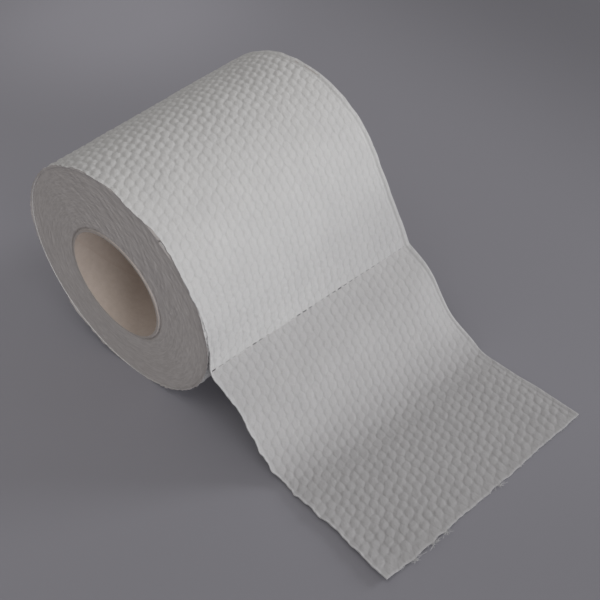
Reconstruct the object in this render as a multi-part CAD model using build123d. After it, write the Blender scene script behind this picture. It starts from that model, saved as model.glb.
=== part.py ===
from build123d import *
from math import acos, cos, degrees, pi, radians, sin
import os

# A roll of toilet paper lying on its side with one sheet pulled loose.
# Millimetres. The origin is the centre of the core, half way along it. +Y runs along the core,
# +X points to the loose sheet's end and +Z is up. The near end is at -Y.

# The roll and its core
paper_width = 100.0
roll_radius = 48.3
core_bore_radius = 22.7
core_wall = 0.8
roll_off_centre = 2.2
seam_angle = 50.0
flat_spot_depth = 0.6

# The wound paper, with one drawn turn for every few of the real ones
drawn_turn_thickness = 1.55
first_turn_thickness = 1.1
chords_per_turn = 30
turn_gap = 0.25
gap_depth = 2.5
sheet_thickness = 0.5

# Where the sheet leaves the roll, as angles round the roll's centre from +X
near_leave_angle = 1.2
far_leave_angle = 25.0

# How far the sheet hangs straight down from there to the perforation
near_hang = 14.6
far_hang = 38.4

# The loose sheet past the perforation
sheet_length = 98.0
near_drape_run = 40.0
far_drape_run = 46.0
sheet_turn = 5.6
web_steps = 12
drape_steps = 14

# The line of small cuts
perforation_pitch = 3.0
perforation_cut = 1.8
perforation_slit = 0.35
perforation_margin = 2.0

# The drape between the perforation and the table: share of the run, share of the height left
near_drape = [(0.20, 0.76), (0.40, 0.53), (0.56, 0.28), (0.72, 0.10), (0.88, 0.02), (1.00, 0.00)]
far_drape = [(0.25, 0.81), (0.41, 0.62), (0.56, 0.40), (0.70, 0.19), (0.86, 0.04), (1.00, 0.00)]

# Sizes that follow
half_width = paper_width / 2
core_radius = core_bore_radius + core_wall
seam_direction = Vector(cos(radians(seam_angle)), 0, sin(radians(seam_angle)))
roll_centre = seam_direction * roll_off_centre
table_z = roll_centre.Z - roll_radius + flat_spot_depth
outer_crossing = roll_radius + roll_off_centre
back_crossing = roll_radius - roll_off_centre
covered_crossing = outer_crossing - sheet_thickness - turn_gap
first_crossing = core_radius + first_turn_thickness
gap_turns = round((back_crossing - first_crossing) / drawn_turn_thickness)
sheet_forward = Vector(cos(radians(sheet_turn)), -sin(radians(sheet_turn)), 0)


# The turns are drawn flat: X is the seam's direction there and Y is a quarter turn further on.
def gap_point(turns, offset):
    """A point on the gap between the turns, after so many turns from its inner end."""
    share = turns / gap_turns
    middle = roll_off_centre * share
    radius = first_crossing + (covered_crossing - roll_off_centre - first_crossing) * share + offset
    angle = -2 * pi * turns
    return middle + radius * cos(angle), radius * sin(angle)


def gap_wall(offset):
    """One wall of the gap as a row of short chords, which end just past the seam."""
    steps = gap_turns * chords_per_turn
    points = [gap_point(step / chords_per_turn, offset) for step in range(steps + 1)]
    points.append((covered_crossing + offset, -turn_gap))
    return points


def gap_face():
    """The gap between the turns as it shows on an end of the roll, one long spiral."""
    return Face(Wire.make_polygon(gap_wall(0) + gap_wall(turn_gap)[::-1], close=True))


def round_stretch(middle, radius, start_angle, end_angle):
    """An arc on the seam line's drawing, from one angle to another."""
    points = []
    for angle in (start_angle, (start_angle + end_angle) / 2, end_angle):
        points.append((middle + radius * cos(radians(angle)), radius * sin(radians(angle))))
    return ThreePointArc(*points)


def outline_face():
    """The roll's outline: half a turn below the seam line with the flat spot, half above, and the step."""
    middle = (covered_crossing - back_crossing) / 2
    radius = (covered_crossing + back_crossing) / 2
    down = -90 - seam_angle
    half_flat = degrees(acos((middle * seam_direction.Z - table_z) / radius))
    before = round_stretch(middle, radius, 0, down + half_flat)
    after = round_stretch(middle, radius, down - half_flat, -180)
    flat = Line(before @ 1, after @ 0)
    above = round_stretch(roll_off_centre, roll_radius, -180, -360)
    step = Line(above @ 1, before @ 0)
    return Face(Wire([before, flat, after, above, step]), [Wire(Edge.make_circle(core_radius))])


def make_core():
    """The cardboard tube that the paper is wound on."""
    tube = Cylinder(core_radius, paper_width) - Cylinder(core_bore_radius, paper_width)
    return Rotation(90, 0, 0) * tube


def make_wound_paper():
    """All the turns as one body, with the gap between them open at both ends of the roll."""
    far_end = Plane(origin=(0, half_width, 0), x_dir=seam_direction, z_dir=(0, -1, 0))
    gap_floor = far_end.offset(paper_width - gap_depth)
    inward = far_end.z_dir
    turns = extrude(far_end * outline_face(), amount=paper_width, dir=inward)
    far_gap = extrude(far_end * gap_face(), amount=gap_depth, dir=inward)
    near_gap = extrude(gap_floor * gap_face(), amount=gap_depth, dir=inward)
    return turns - [far_gap, near_gap]


# The sheet runs through pairs of points, one on its near edge and one on its far edge.
def tangent(angle):
    """The direction in which the paper runs down the roll at an angle."""
    return Vector(sin(radians(angle)), 0, -cos(radians(angle)))


def web_station(leave_angle, travel, y):
    """A point and direction so far past the seam, round the roll and then straight down."""
    angle = max(leave_angle, seam_angle - degrees(travel / roll_radius))
    straight = max(0, travel - radians(seam_angle - leave_angle) * roll_radius)
    outward = Vector(cos(radians(angle)), 0, sin(radians(angle)))
    point = roll_centre + outward * roll_radius + tangent(angle) * straight + Vector(0, y, 0)
    return point, tangent(angle)


def web_sections():
    """The sheet from the seam, over the roll's side, to the perforation."""
    near_travel = radians(seam_angle - near_leave_angle) * roll_radius + near_hang
    far_travel = radians(seam_angle - far_leave_angle) * roll_radius + far_hang
    stations = []
    for step in range(web_steps + 1):
        share = step / web_steps
        near, near_way = web_station(near_leave_angle, near_travel * share, -half_width)
        far, far_way = web_station(far_leave_angle, far_travel * share, half_width)
        stations.append((near, far, near_way + far_way))
    return stations


def drape_edge(start, run, shape):
    """One edge's curve from the perforation to where it meets the table."""
    height = start.Z - table_z - sheet_thickness
    points = [start]
    for run_share, height_share in shape:
        drop = height * (1 - height_share)
        points.append(start + sheet_forward * (run * run_share) - Vector(0, 0, drop))
    return Spline(points, tangents=[points[1] - points[0], sheet_forward])


def drape_sections(perforation):
    """The sheet from the perforation down to the table and along it to the loose end."""
    near_start, far_start, hanging_way = perforation
    near_edge = drape_edge(near_start, near_drape_run, near_drape)
    far_edge = drape_edge(far_start, far_drape_run, far_drape)
    stations = []
    for step in range(drape_steps + 1):
        share = step / drape_steps
        stations.append((near_edge @ share, far_edge @ share, near_edge % share + far_edge % share))
    crease_way = hanging_way.normalized() + stations[0][2].normalized()
    stations[0] = (near_start, far_start, crease_way)
    near_end = stations[-1][0] + sheet_forward * (sheet_length - near_edge.length)
    far_end = stations[-1][1] + sheet_forward * (sheet_length - far_edge.length)
    stations.append((near_end, far_end, sheet_forward))
    return stations


def section_wire(near, far, way):
    """A thin rectangle across the sheet, with its upper side between the two edges."""
    across = (far - near).normalized()
    inward = across.cross(way).normalized() * sheet_thickness
    return Wire.make_polygon([near, far, far + inward, near + inward], close=True)


def sheet_solid(stations):
    """A thin solid that runs straight from each station's section to the next."""
    return Solid.make_loft([section_wire(*station) for station in stations], ruled=True)


def perforation_cuts(near, far, way):
    """The row of small cuts along which the sheet tears off."""
    across = (far - near).normalized()
    outward = way.cross(across).normalized()
    span = (far - near).length - 2 * perforation_margin
    count = int(span // perforation_pitch) + 1
    start = near + across * (((far - near).length - (count - 1) * perforation_pitch) / 2)
    cuts = []
    for index in range(count):
        place = Plane(origin=start + across * (index * perforation_pitch), x_dir=across, z_dir=outward)
        cuts.append(place * Box(perforation_cut, perforation_slit, 4 * sheet_thickness))
    return cuts


def make_paper():
    """The wound turns and the sheet pulled loose from them, one continuous piece."""
    web = web_sections()
    drape = drape_sections(web[-1])
    sheet = sheet_solid(web[:-1] + drape) - perforation_cuts(*drape[0])
    return make_wound_paper() + sheet


part_folder = "parts"
os.makedirs(part_folder, exist_ok=True)
export_step(make_core(), part_folder + "/core_tube.step")
export_step(make_paper(), part_folder + "/tissue_paper.step")
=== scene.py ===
from math import cos, pi, radians, sin, tau
import bpy
import numpy as np
from mathutils import Matrix, Vector


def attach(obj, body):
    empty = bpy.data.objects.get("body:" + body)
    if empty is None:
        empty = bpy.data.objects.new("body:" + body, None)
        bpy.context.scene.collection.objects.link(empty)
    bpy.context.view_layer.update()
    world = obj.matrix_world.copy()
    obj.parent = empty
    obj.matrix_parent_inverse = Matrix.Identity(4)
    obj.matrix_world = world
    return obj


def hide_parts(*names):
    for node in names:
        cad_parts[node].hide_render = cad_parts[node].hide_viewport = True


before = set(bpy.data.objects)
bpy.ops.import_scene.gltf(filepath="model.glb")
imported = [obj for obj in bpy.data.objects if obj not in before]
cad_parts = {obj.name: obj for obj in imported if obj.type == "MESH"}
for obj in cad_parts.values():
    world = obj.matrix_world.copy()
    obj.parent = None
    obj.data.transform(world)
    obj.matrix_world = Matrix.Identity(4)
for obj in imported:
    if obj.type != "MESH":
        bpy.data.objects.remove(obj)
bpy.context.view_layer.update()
print("packed roll loaded")

scene = bpy.context.scene
scene.view_settings.view_transform = "Standard"

photoCamera = {
    "place": (0.23007, -0.19079, 0.23301),
    "azimuth": radians(43.878),
    "elevation": radians(43.297),
    "roll": radians(-3.327),
    "lens": 56.66,
    "clipStart": 0.01,
}


def addPhotoCamera():
    azimuth, elevation, roll = (photoCamera[key] for key in ("azimuth", "elevation", "roll"))
    back = Vector((sin(azimuth) * cos(elevation), -cos(azimuth) * cos(elevation), sin(elevation)))
    right = Vector((0, 0, 1)).cross(back).normalized()
    up = back.cross(right)
    rolledRight = right * cos(roll) + up * sin(roll)
    rolledUp = up * cos(roll) - right * sin(roll)
    turned = Matrix((rolledRight, rolledUp, back)).transposed()
    bpy.ops.object.camera_add(location=photoCamera["place"], rotation=turned.to_euler())
    camera = bpy.context.object
    camera.data.lens = photoCamera["lens"]
    camera.data.clip_start = photoCamera["clipStart"]
    scene.camera = camera


addPhotoCamera()
print("camera set")

# Sizes are metres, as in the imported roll. "across" runs from the near edge, at -Y, to the far one.
# "along" runs along the paper: 0 at the line of small cuts, positive towards the loose end.
rollSizes = {
    "width": 0.100,
    "radius": 0.0483,
    "coreRadius": 0.0235,
    "offCentre": 0.0022,
    "seamAngle": radians(50),
    "tuck": 0.00075,
    "flatSpot": 0.0006,
    "paper": 0.0005,
}
webSizes = {
    "near": {"leave": radians(1.2), "hang": 0.0146},
    "far": {"leave": radians(25.0), "hang": 0.0384},
}
drapeSizes = {  # the shapes are pairs: a share of the run, and the share of the height that is left there
    "length": 0.098,
    "turn": radians(5.6),
    "near": {
        "run": 0.040,
        "shape": [(0, 1), (0.20, 0.76), (0.40, 0.53), (0.56, 0.28), (0.72, 0.10), (0.88, 0.02), (1.0, 0)],
    },
    "far": {
        "run": 0.046,
        "shape": [(0, 1), (0.25, 0.81), (0.41, 0.62), (0.56, 0.40), (0.70, 0.19), (0.86, 0.04), (1.0, 0)],
    },
}
guideSteps = {
    "round": 1800,
    "web": 500,
    "curve": 60,
    "onTable": 300,
    "tableRun": (0.0002, 0.08),
    "even": 0.0004,
}
softBend = {  # where the paper leaves the roll
    "starts": (-0.060, -0.048),
    "ends": (-0.011, -0.004),
    "steps": 49,
    "spread": 2,
}

seamWay = np.array((cos(rollSizes["seamAngle"]), sin(rollSizes["seamAngle"])))
backCrossing = rollSizes["radius"] - rollSizes["offCentre"]
coveredCrossing = rollSizes["radius"] + rollSizes["offCentre"] - rollSizes["tuck"]
lowerShift = (coveredCrossing - backCrossing) / 2
lowerRadius = (coveredCrossing + backCrossing) / 2
tableHeight = rollSizes["offCentre"] * seamWay[1] - rollSizes["radius"] + rollSizes["flatSpot"]


def smoothStep(low, high, value):
    share = np.clip((value - low) / (high - low), 0, 1)
    return share * share * (3 - 2 * share)


def hump(value, place, half):  # 1 at a place, and softly down to 0 on both sides of it
    return np.exp(-(((value - place) / half) ** 2))


def leavingRoll(along):  # 1 where the paper comes off the roll, 0 elsewhere
    return smoothStep(*softBend["starts"], along) * (1 - smoothStep(*softBend["ends"], along))


def onRoll(angle, lift=0.0):  # X and Z on the roll's outside, half a turn round each of two centres
    lower = angle > rollSizes["seamAngle"] + pi
    shift = np.where(lower, lowerShift, rollSizes["offCentre"])
    radius = np.where(lower, lowerRadius, rollSizes["radius"]) + lift
    x = shift * seamWay[0] + radius * np.cos(angle)
    z = shift * seamWay[1] + radius * np.sin(angle)
    return x, z


def throughPoints(points):  # a soft curve through points, as many small steps
    ends = np.vstack([2 * points[0] - points[1], points, 2 * points[-1] - points[-2]])
    t = np.linspace(0, 1, guideSteps["curve"], endpoint=False)[:, None]
    runs = []
    for a, b, c, d in zip(ends, ends[1:], ends[2:], ends[3:]):
        bend, twist = 2 * a - 5 * b + 4 * c - d, 3 * b - 3 * c + d - a
        runs.append(0.5 * (2 * b + (c - a) * t + bend * t**2 + twist * t**3))
    return np.vstack(runs + [points[-1:]])


def lengthsAlong(points):
    return np.concatenate([[0], np.cumsum(np.linalg.norm(np.diff(points, axis=0), axis=1))])


def webLength(side):  # from the seam to the small cuts at one edge
    return (rollSizes["seamAngle"] - webSizes[side]["leave"]) * rollSizes["radius"] + webSizes[side]["hang"]


meanTravel = np.mean([webLength("near"), webLength("far")])


def turnGuide(y):  # one edge once round the roll, up to the seam
    angles = rollSizes["seamAngle"] + np.linspace(tau, 0, guideSteps["round"], endpoint=False)
    x, z = onRoll(angles)
    lengths = -meanTravel - (angles - rollSizes["seamAngle"]) * rollSizes["radius"]
    return lengths, np.stack([x, np.full_like(x, y), z], axis=1)


def webGuide(y, leave, hang):  # one edge over the roll's side and straight down to the small cuts
    arc = (rollSizes["seamAngle"] - leave) * rollSizes["radius"]
    travel = np.linspace(0, arc + hang, guideSteps["web"])
    angle = np.maximum(leave, rollSizes["seamAngle"] - travel / rollSizes["radius"])
    straight = np.maximum(0, travel - arc)
    x, z = onRoll(angle)
    x, z = x + np.sin(angle) * straight, z - np.cos(angle) * straight
    points = np.stack([x, np.full_like(x, y), z], axis=1)
    return -meanTravel * (1 - travel / (arc + hang)), points


def drapeGuide(start, run, shape):  # one edge from the small cuts down to the table and along it
    forward = np.array((cos(drapeSizes["turn"]), -sin(drapeSizes["turn"]), 0))
    drop = start[2] - tableHeight - rollSizes["paper"]
    knots = [start + forward * run * share - np.array((0, 0, drop * (1 - left))) for share, left in shape]
    drape = throughPoints(np.array(knots))
    onTable = np.linspace(*guideSteps["tableRun"], guideSteps["onTable"])
    drape = np.vstack([drape, drape[-1] + forward * onTable[:, None]])[1:]
    return lengthsAlong(np.vstack([start, drape]))[1:], drape


def edgeGuide(side):  # where one edge of the paper runs: lengths from the small cuts, and points
    y = -rollSizes["width"] / 2 if side == "near" else rollSizes["width"] / 2
    turn = turnGuide(y)
    web = webGuide(y, webSizes[side]["leave"], webSizes[side]["hang"])
    drape = drapeGuide(web[1][-1], drapeSizes[side]["run"], drapeSizes[side]["shape"])
    lengths, points = (np.concatenate(part) for part in zip(turn, web, drape))
    # The paper bends away from the roll softly, so the two edges are evened out there
    even = np.arange(lengths[0], lengths[-1], guideSteps["even"])
    raw = np.stack([np.interp(even, lengths, points[:, i]) for i in range(3)], axis=1)
    weights = np.exp(-np.linspace(-softBend["spread"], softBend["spread"], softBend["steps"]) ** 2)
    weights = weights / weights.sum()
    soft = np.stack([np.convolve(raw[:, i], weights, mode="same") for i in range(3)], axis=1)
    return even, raw + (soft - raw) * leavingRoll(even)[:, None]


guides = {side: edgeGuide(side) for side in ("near", "far")}

noiseTable = {"size": 1024, "offset": 300}
noiseHeights = {}
# Hills along an edge: how long they are, and the seed
hills = {
    "curl": (0.011, 12),
    "band": (0.016, 14),
    "plainness": (0.018, 15),
    "turnUp": (0.0036, 16),
    "nearEdge": (0.0085, 17),
    "farEdge": (0.0100, 18),
    "nearFray": (0.0017, 19),
    "rim": (0.012, 20),
    "slits": (0.004, 21),
    "farFray": (0.0042, 22),
    "rag": (0.0016, 31),
    "tear": (0.006, 32),
}


def softNoise(x, y, cellX, cellY, seed, around=0):  # smooth random hills and dips from -1 to 1
    size = noiseTable["size"]
    if seed not in noiseHeights:
        noiseHeights[seed] = np.random.default_rng(seed).uniform(-1, 1, (size, size))
    heights = noiseHeights[seed]
    gridX, gridY = x / cellX, y / cellY + noiseTable["offset"]
    lowX, lowY = np.floor(gridX).astype(int), np.floor(gridY).astype(int)
    shareX, shareY = gridX - lowX, gridY - lowY
    shareX = shareX * shareX * (3 - 2 * shareX)
    shareY = shareY * shareY * (3 - 2 * shareY)
    wrap = around or size
    rowA, rowB = lowX % wrap, (lowX + 1) % wrap
    colA, colB = lowY % size, (lowY + 1) % size
    nearSide = heights[rowA, colA] * (1 - shareX) + heights[rowB, colA] * shareX
    farSide = heights[rowA, colB] * (1 - shareX) + heights[rowB, colB] * shareX
    return nearSide * (1 - shareY) + farSide * shareY


def hillsAlong(name, place):
    length, seed = hills[name]
    return softNoise(place, place * 0, length, 1.0, seed)


# Numbers that only have to be unlike each other, for the small differences between the pebbles
lottery = {"across": 12.9898, "along": 78.233, "pebble": 37.7, "spread": 4375.85, "moves": (7.13, 17.9)}


def drawShare(cellA, cellB, index):  # random from 0 to 1, and the same each time for the same pebble
    mixed = cellA * lottery["across"] + cellB * lottery["along"] + index * lottery["pebble"]
    mixed = np.sin(mixed) * lottery["spread"]
    return mixed - np.floor(mixed)


emboss = {
    "acrossPitch": 0.00677,
    "alongPitch": 0.00714,
    "pebbles": [  # four in each repeat: place across and along, half length, half width, turn
        (0.42, 0.11, 0.00205, 0.00132, 59),
        (0.90, 0.29, 0.00196, 0.00136, 68),
        (0.48, 0.64, 0.00199, 0.00134, 64),
        (0.98, 0.80, 0.00207, 0.00132, 58),
    ],
    "height": 0.00060,
    "middle": 0.44,
    "weakest": 0.84,
    "variety": 0.16,
    "fall": 0.66,
    "roundness": 1.5,
    "drift": 0.00030,
    "driftCell": 0.0048,
    "driftSeeds": (2, 3),
    "unevenness": 0.0003,
    "depths": [  # how deep it is at places along the paper, shallow where the paper is pulled taut
        (-0.118, 1.50),
        (-0.092, 1.10),
        (-0.068, 0.40),
        (-0.030, 0.27),
        (0.005, 0.36),
        (0.030, 0.31),
        (0.052, 0.70),
    ],
    "nearFade": (-0.0016, 0.0008),
    "farFade": (0.0016, 0.0034),
    "endFade": (0.0006, 0.0022),
    "cutsFade": (0.0003, 0.0016),
    "leftAtCuts": 0.15,
}


def pebbleHeight(across, along):  # 0 in the valleys, 1 on top of a pebble
    pitchA, pitchB = emboss["acrossPitch"], emboss["alongPitch"]
    cell, (seedA, seedB) = emboss["driftCell"], emboss["driftSeeds"]
    across = across + emboss["drift"] * softNoise(across, along, cell, cell, seedA)
    along = along + emboss["drift"] * softNoise(across, along, cell, cell, seedB)
    tallest = np.zeros_like(across)
    for index, (placeA, placeB, halfLength, halfWidth, turn) in enumerate(emboss["pebbles"]):
        cellA = across / pitchA - placeA + 0.5
        cellB = along / pitchB - placeB + 0.5
        chance = drawShare(np.floor(cellA), np.floor(cellB), index)
        moves = [np.modf(chance * factor)[0] - 0.5 for factor in lottery["moves"]]
        dx = (cellA - np.floor(cellA) - 0.5) * pitchA + emboss["unevenness"] * moves[0]
        dy = (cellB - np.floor(cellB) - 0.5) * pitchB + emboss["unevenness"] * moves[1]
        lengthways = (dx * cos(radians(turn)) - dy * sin(radians(turn))) / halfLength
        sideways = (dx * sin(radians(turn)) + dy * cos(radians(turn))) / halfWidth
        reach = lengthways**2 + sideways**2
        strength = emboss["weakest"] + emboss["variety"] * chance
        tallest = np.maximum(tallest, strength * np.exp(-emboss["fall"] * reach ** emboss["roundness"]))
    return tallest


tornEnd = {
    "longer": {"near": 0.0022, "far": 0.0008},
    "ragged": 0.00028,
    "fineShare": 0.6,
    "tufts": [  # place across, half width, and how far out
        (0.0115, 0.0009, 0.0004),
        (0.0205, 0.0010, 0.0006),
        (0.0262, 0.0012, 0.0009),
        (0.0540, 0.0008, 0.0006),
    ],
}
edgeBand = {  # the plain band along the far edge, with a groove beside it
    "width": 0.0016,
    "uneven": 0.0005,
    "step": 0.0003,
    "raised": 0.00034,
    "groove": 0.00034,
    "grooveHalf": 0.0006,
    "plain": 0.75,
    "plainUneven": 0.4,
    "looseDrop": 0.5,
    "looseFrom": (0.03, 0.06),
    "wander": 0.0003,
    "wanderReach": 0.006,
}
nearEdge = {
    "curl": 0.0013,
    "reach": 0.0045,
    "turnUp": 0.0006,
    "turnUpReach": 0.0012,
    "turnUpFrom": (-0.004, 0.006),
    "fray": 0.00022,
    "frayReach": 0.0015,
    "rim": 0.0003,
    "rimReach": 0.004,
    "rimEnds": (-0.02, 0.0),
    "outAtCuts": 0.0013,
    "atCuts": (0.002, 0.007),
    "outAtEnd": 0.0016,
    "atEnd": (0.076, 0.098),
    "outReach": 0.012,
    "lumpReach": 0.003,
    "lumps": [  # place along, half length, and how far out
        (-0.1050, 0.0030, 0.0006),
        (-0.0900, 0.0040, 0.0005),
        (-0.0700, 0.0045, 0.0006),
        (-0.0580, 0.0060, -0.0004),
        (-0.0300, 0.0050, 0.0003),
        (0.0250, 0.0035, 0.0005),
        (0.0340, 0.0013, 0.0008),
        (0.0420, 0.0018, 0.0007),
        (0.0480, 0.0022, -0.0004),
        (0.0545, 0.0013, 0.0008),
        (0.0670, 0.0020, 0.0008),
        (0.0750, 0.0020, -0.0004),
        (0.0830, 0.0018, 0.0005),
    ],
}
farEdge = {
    "inAtRoll": 0.0013,
    "atRoll": (-0.036, 0.013),
    "inReach": 0.008,
    "fray": 0.00035,
    "frayEnds": (-0.01, 0.0),
    "droop": 0.0042,
    "atDroop": (0.029, 0.0125),
    "reach": 0.016,
    "pull": 0.0014,
    "tuck": 0.0010,
    "tuckStarts": (0.046, 0.056),
    "tuckEnds": (0.070, 0.080),
}
floorFold = {"near": 0.0565, "far": 0.0590, "half": 0.0024, "left": 0.25}
lie = {  # how the paper lies, by places along it. Hills: how long across and along, and the seed
    "offRoll": 0.0001,
    "covered": (-0.352, -0.330),
    "coveredFlat": 0.8,
    "coveredSink": 0.00005,
    "loose": (0.0, 0.030),
    "looseRise": 0.00025,
    "rollHills": (0.014, 0.017, 4),
    "rollHillHeight": 0.00012,
    "drapeHills": (0.016, 0.021, 5),
    "drapeHillHeight": 0.00030,
    "drapeEnds": (0.048, 0.06),
    "flat": (0.045, 0.062),
    "tableHills": (0.022, 0.025, 8),
    "tableHillHeight": 0.0005,
    "offTable": 0.00003,
}


def embossShare(across, along):  # how much of the embossing there is, flatter at edges, cuts and fold
    share = smoothStep(*emboss["nearFade"], across)
    share = share * smoothStep(*emboss["farFade"], rollSizes["width"] - across)
    share = share * smoothStep(*emboss["endFade"], drapeSizes["length"] - along)
    atCuts = emboss["leftAtCuts"]
    share = share * (atCuts + (1 - atCuts) * smoothStep(*emboss["cutsFade"], np.abs(along)))
    share = share * np.interp(along, *zip(*emboss["depths"]))
    foldLine = floorFold["near"] + (floorFold["far"] - floorFold["near"]) * (across / rollSizes["width"])
    return share * (1 - (1 - floorFold["left"]) * hump(along, foldLine, floorFold["half"]))


def paperHeight(across, along):  # how far the outer side stands out from the run between the two edges
    fromFar = rollSizes["width"] - across
    relief = pebbleHeight(across, along) - emboss["middle"]
    height = emboss["height"] * relief * embossShare(across, along)
    bandWidth = edgeBand["width"] + edgeBand["uneven"] * hillsAlong("band", along)
    strip = 1 - smoothStep(-edgeBand["step"], edgeBand["step"], fromFar - bandWidth)
    groove = hump(fromFar - bandWidth, edgeBand["grooveHalf"], edgeBand["grooveHalf"])
    plainness = edgeBand["plain"] + edgeBand["plainUneven"] * hillsAlong("plainness", along)
    plainness = plainness * (1 - edgeBand["looseDrop"] * smoothStep(*edgeBand["looseFrom"], along))
    height = height + (edgeBand["raised"] * strip - edgeBand["groove"] * groove) * plainness
    height = height + lie["offRoll"] * leavingRoll(along)
    turned = 0.5 + 0.5 * hillsAlong("turnUp", along)
    turnUp = nearEdge["turnUp"] * turned * hump(across, 0, nearEdge["turnUpReach"])
    height = height + turnUp * smoothStep(*nearEdge["turnUpFrom"], along)
    covered = 1 - smoothStep(*lie["covered"], along)
    height = height * (1 - lie["coveredFlat"] * covered) - lie["coveredSink"] * covered
    loose = smoothStep(*lie["loose"], along)
    height = height + loose * lie["looseRise"]
    height = height + lie["rollHillHeight"] * softNoise(across, along, *lie["rollHills"]) * (1 - loose)
    drapeHills = lie["drapeHillHeight"] * softNoise(across, along, *lie["drapeHills"]) * loose
    return height + drapeHills * (1 - smoothStep(*lie["drapeEnds"], along))


def shapeEdges(point, across, along):  # the wavy, drooping and curling edges
    y, z = point[..., 1], point[..., 2]
    fromFar = rollSizes["width"] - across
    nearWander = hillsAlong("nearEdge", along) * np.exp(-across / edgeBand["wanderReach"])
    farWander = hillsAlong("farEdge", along) * np.exp(-fromFar / edgeBand["wanderReach"])
    y += edgeBand["wander"] * (nearWander + farWander)
    fray = hillsAlong("nearFray", along) * np.exp(-across / nearEdge["frayReach"])
    rim = hillsAlong("rim", along) * np.exp(-across / nearEdge["rimReach"])
    y += nearEdge["fray"] * fray + nearEdge["rim"] * (rim * (1 - smoothStep(*nearEdge["rimEnds"], along)))
    outAtCuts = nearEdge["outAtCuts"] * hump(along, *nearEdge["atCuts"])
    outAtEnd = nearEdge["outAtEnd"] * smoothStep(*nearEdge["atEnd"], along)
    y -= (outAtCuts + outAtEnd) * np.exp(-across / nearEdge["outReach"])
    for place, half, lump in nearEdge["lumps"]:
        y -= lump * hump(along, place, half) * np.exp(-across / nearEdge["lumpReach"])
    pulledIn = farEdge["inAtRoll"] * hump(along, *farEdge["atRoll"])
    fray = farEdge["fray"] * hillsAlong("farFray", along) * (1 - smoothStep(*farEdge["frayEnds"], along))
    y -= (pulledIn + fray) * np.exp(-fromFar / farEdge["inReach"])
    droopShare = np.clip(1 - fromFar / farEdge["reach"], 0, 1) ** 2
    droop = hump(along, *farEdge["atDroop"]) * droopShare
    z -= farEdge["droop"] * droop
    tucked = smoothStep(*farEdge["tuckStarts"], along) * (1 - smoothStep(*farEdge["tuckEnds"], along))
    tucked = tucked * droopShare
    y -= farEdge["pull"] * droop + farEdge["tuck"] * tucked
    flat = smoothStep(*lie["flat"], along)
    wave = 0.5 + 0.5 * hillsAlong("curl", along)
    curl = nearEdge["curl"] * wave * hump(across, 0, nearEdge["reach"]) * flat
    lift = lie["tableHillHeight"] * (0.5 + 0.5 * softNoise(across, along, *lie["tableHills"])) * flat
    z += curl + lift
    np.maximum(z, tableHeight + lie["offTable"], out=z)


def paperSurface(across, along):  # points on the embossed outer side of the paper
    share = across / rollSizes["width"]
    ends = []
    for side in ("near", "far"):
        lengths, points = guides[side]
        ends.append(np.stack([np.interp(along, lengths, points[:, i]) for i in range(3)], axis=-1))
    base = ends[0] + (ends[1] - ends[0]) * share[..., None]
    normal = np.cross(np.gradient(base, axis=1), np.gradient(base, axis=0))
    normal /= np.linalg.norm(normal, axis=-1)[..., None]
    point = base + normal * paperHeight(across, along)[..., None]
    shapeEdges(point, across, along)
    return point


def addGrid(name, alongFaces, acrossFaces):
    bpy.ops.object.select_all(action="DESELECT")
    bpy.ops.mesh.primitive_grid_add(x_subdivisions=alongFaces, y_subdivisions=acrossFaces, size=0.1)
    piece = bpy.context.object
    piece.name = name
    piece.data.name = name
    return piece


def movePoints(piece, points):
    piece.data.vertices.foreach_set("co", np.ascontiguousarray(points, dtype=np.float32).ravel())
    piece.data.update()


def readPoints(piece):
    flat = np.empty(len(piece.data.vertices) * 3, dtype=np.float32)
    piece.data.vertices.foreach_get("co", flat)
    return flat.reshape(-1, 3).astype(float)


layUnits = {"inMetre": 10, "millimetres": 100}  # the UV map holds tenths of a metre


def layPattern(piece, across, along):  # where each corner lies on the flat paper
    layer = piece.data.uv_layers[0]
    layer.name = "paperLay"
    corner = np.empty(len(piece.data.loops), dtype=np.int32)
    piece.data.loops.foreach_get("vertex_index", corner)
    lay = np.stack([across.ravel(), along.ravel()], axis=1)[corner] * layUnits["inMetre"]
    layer.data.foreach_set("uv", lay.astype(np.float32).ravel())


def pick(piece):
    bpy.ops.object.select_all(action="DESELECT")
    piece.select_set(True)
    bpy.context.view_layer.objects.active = piece


def deselectMesh(kind):  # faces or edges are then selected in code
    bpy.ops.object.mode_set(mode="EDIT")
    bpy.ops.mesh.select_mode(type=kind)
    bpy.ops.mesh.select_all(action="DESELECT")
    bpy.ops.object.mode_set(mode="OBJECT")


def applyAll(piece):
    pick(piece)
    for modifier in list(piece.modifiers):
        bpy.ops.object.modifier_apply(modifier=modifier.name)


def shadeSoft(piece, angle=50):
    pick(piece)
    bpy.ops.object.shade_smooth_by_angle(angle=radians(angle))


looseSheet = {
    "start": -0.042,
    "step": 0.00062,
    "slit": 0.00034,
    "slitEvery": 5,  # columns of faces, of which so many are cut
    "slitColumns": 3,
    "shut": 0.46,
    "shutUneven": 0.28,
    "open": 0.75,
    "openSlits": [  # place across, half length
        (0.0012, 0.0016),
        (0.0200, 0.0022),
        (0.0440, 0.0040),
        (0.0620, 0.0030),
    ],
    "tornZone": 0.003,
    "offTable": 0.00002,
}
sheetColumns = {  # places across the paper, closer together at the plain band
    "first": 0.0005,
    "before": 0.0968,
    "step": 0.0006,
    "band": (0.0971, 0.0974, 0.0977, 0.0980, 0.0983, 0.0986, 0.0989, 0.0994, 0.1),
}
evenStops = np.arange(sheetColumns["first"], sheetColumns["before"], sheetColumns["step"])
acrossStops = np.concatenate([[0], evenStops, sheetColumns["band"]])


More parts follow.
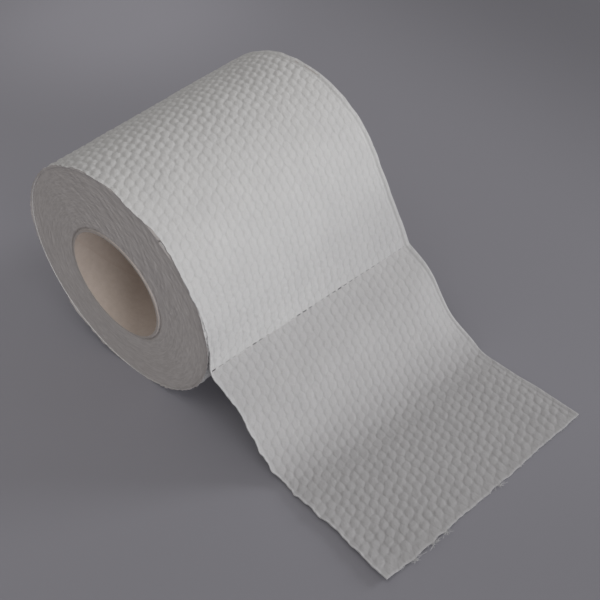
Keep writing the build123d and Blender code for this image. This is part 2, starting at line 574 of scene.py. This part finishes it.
def tornReach(across):  # how far past its plain length the paper goes at the torn end
    rag = hillsAlong("rag", across) * tornEnd["fineShare"] + hillsAlong("tear", across)
    longer = [tornEnd["longer"][side] for side in ("near", "far")]
    reach = rag * tornEnd["ragged"] + np.interp(across, (0, rollSizes["width"]), longer)
    for place, half, tuft in tornEnd["tufts"]:
        reach = reach + tuft * hump(across, place, half)
    return reach


def slitOpening():  # slits that stand open here and there, and lie almost shut elsewhere
    opening = looseSheet["shut"] + looseSheet["shutUneven"] * hillsAlong("slits", acrossStops)
    for place, half in looseSheet["openSlits"]:
        opening = opening + looseSheet["open"] * hump(acrossStops, place, half)
    return opening


def makeLooseSheet():
    start, length, step = looseSheet["start"], drapeSizes["length"], looseSheet["step"]
    half = looseSheet["slit"] / 2
    before = np.linspace(start, -half, round(-start / step) + 1)
    after = np.linspace(half, length, round(length / step) + 1)
    alongStops = np.concatenate([before, after])
    across, along = np.meshgrid(acrossStops, alongStops, indexing="ij")
    last = len(before) - 1
    along[:, last] = -half * slitOpening()
    along[:, last + 1] = half * slitOpening()
    pull = smoothStep(length - looseSheet["tornZone"], length, along)
    torn = along + pull * tornReach(acrossStops)[:, None]
    piece = addGrid("loose_sheet", len(alongStops) - 1, len(acrossStops) - 1)
    movePoints(piece, paperSurface(across, torn).reshape(-1, 3))
    layPattern(piece, across, along)
    deselectMesh("FACE")
    for column in range(1, len(acrossStops) - len(sheetColumns["band"])):
        if (column - 1) % looseSheet["slitEvery"] < looseSheet["slitColumns"]:
            piece.data.polygons[column * (len(alongStops) - 1) + last].select = True
    bpy.ops.object.mode_set(mode="EDIT")
    bpy.ops.mesh.delete(type="FACE")
    bpy.ops.object.mode_set(mode="OBJECT")
    wall = piece.modifiers.new("paperThickness", "SOLIDIFY")
    wall.thickness = rollSizes["paper"]
    wall.offset = -1
    applyAll(piece)
    points = readPoints(piece)
    points[:, 2] = np.maximum(points[:, 2], tableHeight + looseSheet["offTable"])
    movePoints(piece, points)
    shadeSoft(piece)
    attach(piece, "root")
    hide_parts("tissue_paper")
    print("loose sheet laid, faces", len(piece.data.polygons))
    return piece


outerTurn = {
    "step": 0.00066,
    "tuckedStart": radians(409.2),
    "bow": 0.00005,  # the tucked end's inside edge bows inwards, so that the strip there has an area
    "offTable": 0.00002,
    "rimSlope": 0.6,  # faces steeper than this and farther out than this show the cut edges
    "rimPlace": 0.0485,
}


def insidePoints(outside, rows, columns, alongStops):  # the inner side under the turn's border
    angle = rollSizes["seamAngle"] + (-meanTravel - alongStops[columns]) / rollSizes["radius"]
    place = acrossStops[rows]
    bow = outerTurn["bow"] * np.sqrt(np.abs(np.sin(pi * place / rollSizes["width"]))) * (columns == 0)
    x, z = onRoll(np.maximum(angle, rollSizes["seamAngle"]), -rollSizes["paper"] - bow)
    z = np.maximum(z, tableHeight + outerTurn["offTable"])
    underTurn = np.stack([x, place - rollSizes["width"] / 2, z], axis=1)
    underWeb = outside - np.stack([np.cos(angle), angle * 0, np.sin(angle)], axis=1) * rollSizes["paper"]
    onWeb = angle < rollSizes["seamAngle"]
    return np.where(onWeb[:, None], underWeb, underTurn)


def makeOuterTurn():
    start = -meanTravel - (outerTurn["tuckedStart"] - rollSizes["seamAngle"]) * rollSizes["radius"]
    end, step = looseSheet["start"], outerTurn["step"]
    alongStops = np.linspace(start, end, round((end - start) / step) + 1)
    across, along = np.meshgrid(acrossStops, alongStops, indexing="ij")
    piece = addGrid("outer_turn", len(alongStops) - 1, len(acrossStops) - 1)
    movePoints(piece, paperSurface(across, along).reshape(-1, 3))
    layPattern(piece, across, along)
    # The wall: the border goes inwards by the paper's thickness, and wide strips close the inside
    gridPoints = len(piece.data.vertices)
    bpy.ops.object.mode_set(mode="EDIT")
    bpy.ops.mesh.select_mode(type="EDGE")
    bpy.ops.mesh.select_all(action="DESELECT")
    bpy.ops.mesh.select_non_manifold()
    bpy.ops.mesh.extrude_region_move()
    bpy.ops.object.mode_set(mode="OBJECT")
    points = readPoints(piece)
    lookup = {tuple(np.round(p, 7)): i for i, p in enumerate(points[:gridPoints])}
    source = np.array([lookup[tuple(np.round(p, 7))] for p in points[gridPoints:]])
    rows, columns = np.divmod(source, len(alongStops))
    points[gridPoints:] = insidePoints(points[source], rows, columns, alongStops)
    movePoints(piece, points)
    nearSide = set((gridPoints + np.flatnonzero(rows == 0)).tolist())
    farSide = set((gridPoints + np.flatnonzero(rows == len(acrossStops) - 1)).tolist())
    deselectMesh("EDGE")
    for edge in piece.data.edges:
        a, b = edge.vertices
        edge.select = (a in nearSide and b in nearSide) or (a in farSide and b in farSide)
    bpy.ops.object.mode_set(mode="EDIT")
    bpy.ops.mesh.bridge_edge_loops()
    bpy.ops.mesh.select_all(action="DESELECT")
    bpy.ops.mesh.select_non_manifold()
    bpy.ops.mesh.fill_holes(sides=0)
    bpy.ops.mesh.select_all(action="SELECT")
    bpy.ops.mesh.normals_make_consistent(inside=False)
    bpy.ops.object.mode_set(mode="OBJECT")
    shadeSoft(piece)
    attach(piece, "root")
    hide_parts("tissue_paper")
    print("outer turn wound, faces", len(piece.data.polygons))
    return piece


woundTurns = {
    "around": 600,
    "rings": 71,
    "inset": 0.00035,
    "gapUnderOuter": 0.00002,
    "rampStart": radians(409.4),
    "offTable": 0.7,  # of the paper's thickness
    "calmAtCore": (0, 0.012),
    "calmAtRim": (0, 0.03),
    "weld": 0.000002,
    "seeds": (41, 61),  # the near end's and the far end's, each the first of five
}
turnEdges = {  # hills on an end of the roll: how many round it, how long outwards, and how high
    "wander": {"round": 40, "long": 0.006, "high": 0.0007},
    "ridges": {"round": 60, "long": 0.00095, "high": 0.00006},
    "fine": {"round": 110, "long": 0.0006, "high": 0.00005},
    "broad": {"round": 11, "long": 0.0072, "high": 0.00014},
    "slanted": {"round": 160, "long": 0.0024, "high": 0.00015},
    "slant": 0.034,
    "slantedSide": radians(70),
    "groove": {"place": 0.0005, "half": 0.0004, "deep": 0.0007},
}


def hillsOnEnd(name, angle, radius, seed):
    setup = turnEdges[name]
    return softNoise(angle, radius, tau / setup["round"], setup["long"], seed, setup["round"])


def endRelief(angle, radius, seed):  # the turns' edges: long thin ridges, and some pushed in
    wander = turnEdges["wander"]["high"] * hillsOnEnd("wander", angle, radius, seed)
    relief = turnEdges["ridges"]["high"] * hillsOnEnd("ridges", angle, radius + wander, seed + 1)
    relief = relief + turnEdges["fine"]["high"] * hillsOnEnd("fine", angle, radius + wander, seed + 2)
    relief = relief + turnEdges["broad"]["high"] * hillsOnEnd("broad", angle, radius, seed + 3)
    slanted = hillsOnEnd("slanted", angle - radius / turnEdges["slant"], radius, seed + 4)
    sector = (0.5 + 0.5 * np.cos(angle - turnEdges["slantedSide"])) ** 2
    relief = relief + turnEdges["slanted"]["high"] * slanted * sector
    groove = turnEdges["groove"]
    return relief - groove["deep"] * hump(radius - rollSizes["coreRadius"], groove["place"], groove["half"])


def makeWoundTurns():
    around, rings = woundTurns["around"], woundTurns["rings"]
    turnAngle = rollSizes["seamAngle"] + np.linspace(tau, 0, around + 1)
    x, z = onRoll(turnAngle, -(rollSizes["paper"] + woundTurns["gapUnderOuter"]))
    climb = smoothStep(woundTurns["rampStart"], rollSizes["seamAngle"] + tau, turnAngle) * rollSizes["tuck"]
    x, z = x + climb * np.cos(turnAngle), z + climb * np.sin(turnAngle)
    z = np.maximum(z, tableHeight + rollSizes["paper"] * woundTurns["offTable"])
    outer = np.stack([x, z], axis=1)
    inner = np.stack([np.cos(turnAngle), np.sin(turnAngle)], axis=1) * rollSizes["coreRadius"]
    share = np.linspace(0, 1, rings + 1)
    out = inner[None] + (outer - inner)[None] * share[:, None, None]
    angle = np.broadcast_to(turnAngle, out.shape[:2])
    radius = np.linalg.norm(out, axis=-1)
    calm = smoothStep(*woundTurns["calmAtCore"], share)[:, None]
    calm = calm * smoothStep(*woundTurns["calmAtRim"], 1 - share)[:, None]
    halfWidth, inset, seeds = rollSizes["width"] / 2, woundTurns["inset"], woundTurns["seeds"]
    nearEnd = -halfWidth + inset - endRelief(angle, radius, seeds[0]) * calm
    farEnd = halfWidth - inset + endRelief(angle, radius, seeds[1]) * calm
    nearFace = np.stack([out[..., 0], nearEnd, out[..., 1]], axis=-1)
    farFace = np.stack([out[..., 0], farEnd, out[..., 1]], axis=-1)[::-1]
    section = np.concatenate([nearFace, farFace, nearFace[:1]])
    piece = addGrid("wound_turns", around, len(section) - 1)
    movePoints(piece, section.reshape(-1, 3))
    bpy.ops.object.mode_set(mode="EDIT")
    bpy.ops.mesh.select_all(action="SELECT")
    bpy.ops.mesh.remove_doubles(threshold=woundTurns["weld"])
    bpy.ops.object.mode_set(mode="OBJECT")
    shadeSoft(piece)
    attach(piece, "root")
    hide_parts("tissue_paper")
    print("wound turns made, faces", len(piece.data.polygons))
    return piece


tornFibres = {
    "count": 300,
    "seed": 77,
    "thickness": 0.00005,
    "points": 5,
    "length": 0.0010,
    "lengthShares": (0.3, 1.0),
    "shortening": 1.5,
    "tuftLength": 0.0016,
    "tuftShares": (0.5, 1.2),
    "tuftEvery": 3,
    "tuftSpread": 0.0007,
    "ends": (0.0005, 0.0995),
    "slopeStep": 0.0001,
    "lean": 0.5,
    "bend": 0.6,
    "rise": 0.5,
    "rootInside": 0.0003,
    "rootSink": 0.00022,
    "sink": 0.0001,
    "offTable": 0.00006,
    "smooth": 60,
}


def fibreLines():  # the points along each fibre that stands out of the torn end
    random = np.random.default_rng(tornFibres["seed"])
    count = tornFibres["count"]
    steps = np.linspace(0, 1, tornFibres["points"])[None]
    tufts = np.array(tornEnd["tufts"])[random.integers(len(tornEnd["tufts"]), size=count)]
    inTuft = np.arange(count) % tornFibres["tuftEvery"] == 0
    atTuft = tufts[:, 0] + random.normal(0, tornFibres["tuftSpread"], count)
    start = np.where(inTuft, atTuft, random.uniform(*tornFibres["ends"], count))
    plainShare = random.uniform(*tornFibres["lengthShares"], count) ** tornFibres["shortening"]
    plainReach = tornFibres["length"] * plainShare
    tuftReach = tornFibres["tuftLength"] * random.uniform(*tornFibres["tuftShares"], count)
    reach = np.where(inTuft, tuftReach, plainReach)[:, None]
    lean = random.normal(0, tornFibres["lean"], (count, 1))
    bend = random.normal(0, tornFibres["bend"], (count, 1))
    across = start[:, None] + reach * (lean * steps + bend * steps**2)
    along = drapeSizes["length"] + tornReach(start)[:, None] - tornFibres["rootInside"] + reach * steps
    spots = []
    beside = tornFibres["slopeStep"]
    for row, line in zip(across, along):  # the surface needs neighbours for its slope
        spots.append(paperSurface(np.stack([row - beside, row, row + beside]), np.stack([line] * 3))[1])
    spots = np.stack(spots)
    rise = random.uniform(0, tornFibres["rise"], (count, 1)) * reach * steps
    spots[..., 2] += rise - tornFibres["sink"] - tornFibres["rootSink"] * (1 - steps)
    spots[..., 2] = np.maximum(spots[..., 2], tableHeight + tornFibres["offTable"])
    return spots


def makeTornFibres():
    bpy.ops.object.select_all(action="DESELECT")
    bpy.ops.curve.primitive_bezier_curve_add()
    piece = bpy.context.object
    piece.name = "torn_fibres"
    curve = piece.data
    curve.splines.clear()
    curve.dimensions = "3D"
    curve.bevel_depth = tornFibres["thickness"]
    curve.bevel_resolution = 0
    curve.use_fill_caps = True
    for fibre in fibreLines():
        spline = curve.splines.new("POLY")
        spline.points.add(len(fibre) - 1)
        for point, spot in zip(spline.points, fibre):
            point.co = (*spot, 1)
    bpy.ops.object.convert(target="MESH")
    piece = bpy.context.object
    shadeSoft(piece, tornFibres["smooth"])
    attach(piece, "root")
    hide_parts("tissue_paper")
    print("torn fibres laid, faces", len(piece.data.polygons))
    return piece


wound = makeWoundTurns()
outer = makeOuterTurn()
sheet = makeLooseSheet()
fibres = makeTornFibres()


def addNode(tree, kind, inputs=None, **settings):
    made = tree.nodes.new(kind)
    for key, value in settings.items():
        setattr(made, key, value)
    for key, value in (inputs or {}).items():
        if isinstance(value, bpy.types.NodeSocket):
            tree.links.new(value, made.inputs[key])
        else:
            made.inputs[key].default_value = value
    return made


def addMath(tree, operation, *values):
    return addNode(tree, "ShaderNodeMath", dict(enumerate(values)), operation=operation).outputs[0]


def addVectorMath(tree, operation, *values):
    made = addNode(tree, "ShaderNodeVectorMath", dict(enumerate(values)), operation=operation)
    return made.outputs["Value" if operation in ("LENGTH", "DISTANCE", "DOT_PRODUCT") else "Vector"]


def addRange(tree, value, start, end, low=0.0, high=1.0, kind="SMOOTHSTEP"):
    inputs = {"Value": value, "From Min": start, "From Max": end, "To Min": low, "To Max": high}
    return addNode(tree, "ShaderNodeMapRange", inputs, interpolation_type=kind).outputs[0]


def addMix(tree, share, first, second, blend="MIX"):
    inputs = {"Factor": share, "A": first, "B": second}
    return addNode(tree, "ShaderNodeMix", inputs, data_type="RGBA", blend_type=blend).outputs["Result"]


def addNoise(tree, place, scale, detail, roughness=0.5):
    inputs = {"Vector": place, "Scale": scale, "Detail": detail, "Roughness": roughness}
    return addNode(tree, "ShaderNodeTexNoise", inputs).outputs["Fac"]


def addBump(tree, height, distance, strength, normal=None):
    inputs = {"Height": height, "Distance": distance, "Strength": strength}
    if normal is not None:
        inputs["Normal"] = normal
    return addNode(tree, "ShaderNodeBump", inputs).outputs["Normal"]


def newGroup(name, inputs, outputs):
    group = bpy.data.node_groups.new(name, "ShaderNodeTree")
    for label, kind in inputs:
        group.interface.new_socket(name=label, in_out="INPUT", socket_type=kind)
    for label, kind in outputs:
        group.interface.new_socket(name=label, in_out="OUTPUT", socket_type=kind)
    return group, group.nodes.new("NodeGroupInput"), group.nodes.new("NodeGroupOutput")


tissueLook = {
    "light": (0.80, 0.795, 0.785, 1),
    "shade": (0.70, 0.695, 0.69, 1),
    # painted shade: the valleys between the pebbles get a darker colour
    "paintedValleyShade": (0.62, 0.615, 0.61, 1),
    "paintedValleyShadeShare": 0.20,
    "valleyRange": (0.72, 1.42),  # in half lengths and half widths of a pebble
    "roughness": 0.92,
    "sheen": 0.15,
    "sheenRoughness": 0.6,
    "pebbleBump": (0.00014, 0.8),  # distance and strength
    "crinkleBump": (0.00044, 0.6),
    "fibreBump": (0.00012, 0.5),
    "borderHighlight": (0.86, 0.86, 0.865, 1),  # the borders are painted lighter than the rest: partly frayed fibres, partly a painted highlight where the edges catch the light
    "borderReach": (0.002, 0.007),  # these places are in the UV map's tenths of a metre too
    "borderShare": 0.35,
    "borderFrom": (-0.1, 0.1),
    "borderOnRoll": 0.2,
    # Painted shade where the darker floor shows through a single layer: tenths of a metre past the small
    # cuts, and how much shows
    "singleLayer": [(0.006, 0.58), (0.30, 0.64), (0.50, 0.92), (0.80, 0.95)],
    # the hanging part at the far side gets painted shade too, from the shaded roll behind it
    "hangingFrom": (-0.42, -0.02),
    "hangingSide": (0.2, 1.0),
    "hangingShare": 0.50,
    "showThroughShade": (0.70, 0.695, 0.71, 1),
}
fibreScales = {  # scale, detail and roughness
    "fibres": (1800, 3, 0.6),
    "crinkles": (620, 2, 0.5),
    "clouds": (90, 3, 0.55),
}
paperShine = 0.25


def makeEmbossGroup():  # sizes are in millimetres here
    outputs = [("Valleys", "NodeSocketFloat")]
    group, start, end = newGroup("embossPebbles", [("Lay", "NodeSocketVector")], outputs)
    pitchA, pitchB = emboss["acrossPitch"] * 1000, emboss["alongPitch"] * 1000
    unit = layUnits["millimetres"]
    cells = addVectorMath(group, "MULTIPLY", start.outputs["Lay"], (unit / pitchA, unit / pitchB, 0))
    nearest = None
    for placeA, placeB, halfLength, halfWidth, turn in emboss["pebbles"]:
        moved = addVectorMath(group, "ADD", cells, (0.5 - placeA, 0.5 - placeB, 0))
        centred = addVectorMath(group, "SUBTRACT", addVectorMath(group, "FRACTION", moved), (0.5, 0.5, 0))
        sized = addVectorMath(group, "MULTIPLY", centred, (pitchA, pitchB, 0))
        inputs = {"Vector": sized, "Angle": radians(turn)}
        turned = addNode(group, "ShaderNodeVectorRotate", inputs, rotation_type="Z_AXIS").outputs[0]
        scaled = addVectorMath(group, "MULTIPLY", turned, (1 / halfLength / 1000, 1 / halfWidth / 1000, 0))
        away = addVectorMath(group, "LENGTH", scaled)
        nearest = away if nearest is None else addMath(group, "MINIMUM", nearest, away)
    group.links.new(addRange(group, nearest, *tissueLook["valleyRange"]), end.inputs["Valleys"])
    return group


def makeFibreGroup():
    labels = ("Fibres", "Crinkles", "Clouds")
    outputs = [(label, "NodeSocketFloat") for label in labels]
    group, start, end = newGroup("paperFibres", [("Place", "NodeSocketVector")], outputs)
    for label in labels:
        tones = addNoise(group, start.outputs["Place"], *fibreScales[label.lower()])
        group.links.new(tones, end.inputs[label])
    return group


embossGroup = makeEmbossGroup()
fibreGroup = makeFibreGroup()


def newMaterial(name, roughness):
    material = bpy.data.materials.new(name)
    material.use_nodes = True
    shader = material.node_tree.nodes["Principled BSDF"]
    shader.inputs["Roughness"].default_value = roughness
    shader.inputs["Specular IOR Level"].default_value = paperShine
    return material, material.node_tree, shader


def paintedShowThrough(tree, across, along):  # how much painted shade the single layer gets, where the floor and the shaded roll behind show through
    thin = addNode(tree, "ShaderNodeFloatCurve", {"Value": along})
    curve = thin.mapping.curves[0]
    curve.points[0].location = (0.0, 0.0)
    curve.points[1].location = (1.0, 1.0)
    for stop, amount in tissueLook["singleLayer"]:
        curve.points.new(stop, amount)
    thin.mapping.update()
    farSide = addRange(tree, across, *tissueLook["hangingSide"])
    hanging = addRange(tree, along, *tissueLook["hangingFrom"], 0.0, tissueLook["hangingShare"])
    return addMath(tree, "MAXIMUM", thin.outputs[0], addMath(tree, "MULTIPLY", farSide, hanging))


def frayedAndLitBorder(tree, across, along):  # 0 inside the sheet, more at its edges and its torn end: frayed fibres and painted highlight
    toEdge = addMath(tree, "MINIMUM", across, addMath(tree, "SUBTRACT", 1.0, across))
    toEnd = addMath(tree, "SUBTRACT", drapeSizes["length"] * layUnits["inMetre"], along)
    toBorder = addMath(tree, "MINIMUM", toEdge, toEnd)
    borderHighlight = addRange(tree, toBorder, *tissueLook["borderReach"], tissueLook["borderShare"], 0.0, "LINEAR")
    loose = addRange(tree, along, *tissueLook["borderFrom"], tissueLook["borderOnRoll"], 1.0, "LINEAR")
    return addMath(tree, "MULTIPLY", borderHighlight, loose)


def makeTissue():
    material, tree, shader = newMaterial("embossed tissue", tissueLook["roughness"])
    lay = addNode(tree, "ShaderNodeUVMap", uv_map="paperLay").outputs["UV"]
    place = addNode(tree, "ShaderNodeTexCoord").outputs["Object"]
    valleys = addNode(tree, "ShaderNodeGroup", {"Lay": lay}, node_tree=embossGroup).outputs["Valleys"]
    fibreParts = addNode(tree, "ShaderNodeGroup", {"Place": place}, node_tree=fibreGroup).outputs
    parts = addNode(tree, "ShaderNodeSeparateXYZ", {0: lay}).outputs
    colour = addMix(tree, fibreParts["Clouds"], tissueLook["shade"], tissueLook["light"])
    # Painted shade in the embossing's valleys
    valleyShadeAmount = addMath(tree, "MULTIPLY", valleys, tissueLook["paintedValleyShadeShare"])
    colour = addMix(tree, valleyShadeAmount, colour, tissueLook["paintedValleyShade"])
    # Painted shade where the floor and the shaded roll show through the thin paper
    single = paintedShowThrough(tree, parts["X"], parts["Y"])
    colour = addMix(tree, single, colour, tissueLook["showThroughShade"], "MULTIPLY")
    colour = addMix(tree, frayedAndLitBorder(tree, parts["X"], parts["Y"]), colour, tissueLook["borderHighlight"])
    tree.links.new(colour, shader.inputs["Base Color"])
    normal = addBump(tree, addMath(tree, "SUBTRACT", 1.0, valleys), *tissueLook["pebbleBump"])
    normal = addBump(tree, fibreParts["Crinkles"], *tissueLook["crinkleBump"], normal)
    normal = addBump(tree, fibreParts["Fibres"], *tissueLook["fibreBump"], normal)
    tree.links.new(normal, shader.inputs["Normal"])
    shader.inputs["Sheen Weight"].default_value = tissueLook["sheen"]
    shader.inputs["Sheen Roughness"].default_value = tissueLook["sheenRoughness"]
    return material


fibreLook = {
    "dark": (0.66, 0.66, 0.66, 1),
    "light": (0.84, 0.84, 0.84, 1),
    "tones": (700, 2),
    "roughness": 0.9,
}


def makeLooseFibres():
    material, tree, shader = newMaterial("loose fibres", fibreLook["roughness"])
    place = addNode(tree, "ShaderNodeTexCoord").outputs["Object"]
    colour = addMix(tree, addNoise(tree, place, *fibreLook["tones"]), fibreLook["dark"], fibreLook["light"])
    tree.links.new(colour, shader.inputs["Base Color"])
    return material


# The cut edges are greyer than the tissue: partly their own tone, partly painted shade of the roll's ends.
cutEdgeLook = {
    "dark": (0.605, 0.570, 0.550, 1),
    "light": (0.685, 0.648, 0.627, 1),
    "stretch": (240, 240, 1500),  # streaks that run round the roll
    "streaks": (1.0, 2, 0.6),
    "contrast": (0.35, 0.65),
    "bump": (0.00025, 0.6),
    "roughness": 0.95,
}


def makeTurnEdges():
    material, tree, shader = newMaterial("cut edges of the turns", cutEdgeLook["roughness"])
    place = addNode(tree, "ShaderNodeTexCoord").outputs["Object"]
    parts = addNode(tree, "ShaderNodeSeparateXYZ", {0: place}).outputs
    flat = addNode(tree, "ShaderNodeCombineXYZ", {"X": parts["X"], "Y": parts["Z"]}).outputs[0]
    out = addVectorMath(tree, "LENGTH", flat)
    ring = addNode(tree, "ShaderNodeCombineXYZ", {"X": parts["X"], "Y": parts["Z"], "Z": out}).outputs[0]
    stretched = addVectorMath(tree, "MULTIPLY", ring, cutEdgeLook["stretch"])
    streaks = addNoise(tree, stretched, *cutEdgeLook["streaks"])
    share = addRange(tree, streaks, *cutEdgeLook["contrast"])
    colour = addMix(tree, share, cutEdgeLook["dark"], cutEdgeLook["light"])
    tree.links.new(colour, shader.inputs["Base Color"])
    tree.links.new(addBump(tree, streaks, *cutEdgeLook["bump"]), shader.inputs["Normal"])
    return material


cardboardLook = {
    "dark": (0.62, 0.528, 0.458, 1),
    "light": (0.78, 0.688, 0.620, 1),
    "seam": (0.67, 0.57, 0.50, 1),
    "end": (0.58, 0.535, 0.50, 1),  # the tube's cut ends are as grey as the paper round them: partly the cardboard's own grey, partly painted shade
    "endPlace": (0.0498, 0.04995),
    "seamPitch": 0.085,  # how far along the tube the slanting seam goes in one turn
    "seamWidth": 0.02,
    "seamBump": (0.0001, 0.12),
    "grain": (420, 4, 0.65),
    "grainBump": (0.0002, 0.5),
    "roughness": 0.85,
}


def makeCardboard():
    material, tree, shader = newMaterial("core cardboard", cardboardLook["roughness"])
    place = addNode(tree, "ShaderNodeTexCoord").outputs["Object"]
    parts = addNode(tree, "ShaderNodeSeparateXYZ", {0: place}).outputs
    turns = addMath(tree, "DIVIDE", addMath(tree, "ARCTAN2", parts["Z"], parts["X"]), tau)
    along = addMath(tree, "DIVIDE", parts["Y"], cardboardLook["seamPitch"])
    lap = addMath(tree, "FRACT", addMath(tree, "SUBTRACT", along, turns))
    pastSeam = addRange(tree, lap, 0.0, cardboardLook["seamWidth"], kind="LINEAR")
    grain = addNoise(tree, place, *cardboardLook["grain"])
    colour = addMix(tree, grain, cardboardLook["dark"], cardboardLook["light"])
    colour = addMix(tree, pastSeam, cardboardLook["seam"], colour)
    onEnd = addRange(tree, addMath(tree, "ABSOLUTE", parts["Y"]), *cardboardLook["endPlace"], kind="LINEAR")
    colour = addMix(tree, onEnd, colour, cardboardLook["end"])
    tree.links.new(colour, shader.inputs["Base Color"])
    normal = addBump(tree, lap, *cardboardLook["seamBump"])
    normal = addBump(tree, grain, *cardboardLook["grainBump"], normal)
    tree.links.new(normal, shader.inputs["Normal"])
    return material


def dress(piece, *materials):
    piece.data.materials.clear()
    for material in materials:
        piece.data.materials.append(material)


tissue = makeTissue()
dress(sheet, tissue)
cutEdges = makeTurnEdges()
dress(outer, tissue, cutEdges)
for face in outer.data.polygons:
    onRim = abs(face.normal.y) > outerTurn["rimSlope"] and abs(face.center.y) > outerTurn["rimPlace"]
    face.material_index = int(onRim)
dress(wound, cutEdges)
dress(fibres, makeLooseFibres())
dress(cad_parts["core_tube"], makeCardboard())
print("materials made")

studio = {
    "floorSize": 8,
    "floorRoughness": 0.7,
    "floorLitTone": (0.412, 0.406, 0.449, 1),
    "floorDimTone": (0.358, 0.353, 0.392, 1),
    "floorFalloffWay": ((0.72, 0.69, 0), -0.16, 0.22),  # painted light falloff: which way the tone changes, and from where to where
    # Painted light falloff, where the floor is painted darker: which way, from where to where, and what is
    # left of it there
    "floorPaintedFalloffs": [((0.233, 0.972, 0), 0.15, 0.32, 0.70), ((0.69, -0.72, 0), 0.06, 0.14, 0.91)],
    # a painted pool of light on the floor: its place, from and to how far, and how much lighter it is in
    # the middle
    "floorPaintedLightPool": {"place": (-0.24, 0.14, 0), "from": 0.02, "to": 0.13, "gain": 1.23},
    "skyTint": (1.0, 0.985, 0.975, 1),
    "sky": 0.245,
    "distance": 2.2,
}
softboxes = {
    "keySoftbox": {"way": (0.50, 0.82, 0.29), "size": 0.8, "power": 13.9, "tint": (0.97, 0.98, 1.0)},
    "sideSoftbox": {"way": (0.95, -0.26, 0.17), "size": 1.1, "power": 13.0, "tint": (0.98, 0.985, 1.0)},
    "topSoftbox": {"way": (0.05, -0.28, 0.96), "size": 1.8, "power": 6.0, "tint": (1.0, 0.97, 0.95)},
}


def addFloor():
    bpy.ops.object.select_all(action="DESELECT")
    bpy.ops.mesh.primitive_plane_add(size=studio["floorSize"], location=(0, 0, tableHeight))
    floor = bpy.context.object
    floor.name = "floor"
    material, tree, shader = newMaterial("floor with painted light falloff", studio["floorRoughness"])
    # The floor's colour holds painted light: a painted falloff across it, a painted pool of light and
    # painted darkening in two ways
    place = addNode(tree, "ShaderNodeTexCoord").outputs["Object"]
    way, start, end = studio["floorFalloffWay"]
    share = addRange(tree, addVectorMath(tree, "DOT_PRODUCT", place, way), start, end)
    tone = addMix(tree, share, studio["floorLitTone"], studio["floorDimTone"])
    lightPool = studio["floorPaintedLightPool"]
    away = addVectorMath(tree, "DISTANCE", place, lightPool["place"])
    left = addRange(tree, away, lightPool["from"], lightPool["to"], lightPool["gain"], 1.0)
    for way, start, end, rest in studio["floorPaintedFalloffs"]:
        fall = addRange(tree, addVectorMath(tree, "DOT_PRODUCT", place, way), start, end, 1.0, rest)
        left = addMath(tree, "MULTIPLY", left, fall)
    toned = addNode(tree, "ShaderNodeVectorMath", {0: tone, "Scale": left}, operation="SCALE")
    tree.links.new(toned.outputs[0], shader.inputs["Base Color"])
    floor.data.materials.append(material)


def addSoftLight(name, setup):
    way = Vector(setup["way"]).normalized()
    turned = way.to_track_quat("Z", "Y").to_euler()
    bpy.ops.object.light_add(type="AREA", location=way * studio["distance"], rotation=turned)
    lamp = bpy.context.object
    lamp.name = name
    lamp.data.shape = "DISK"
    lamp.data.size = setup["size"]
    lamp.data.energy = setup["power"]
    lamp.data.color = setup["tint"]


def addSky():
    world = bpy.data.worlds.new("studioSky")
    scene.world = world
    world.use_nodes = True
    background = world.node_tree.nodes["Background"]
    background.inputs["Color"].default_value = studio["skyTint"]
    background.inputs["Strength"].default_value = studio["sky"]


addFloor()
for name, setup in softboxes.items():
    addSoftLight(name, setup)
addSky()
print("floor and lights set")
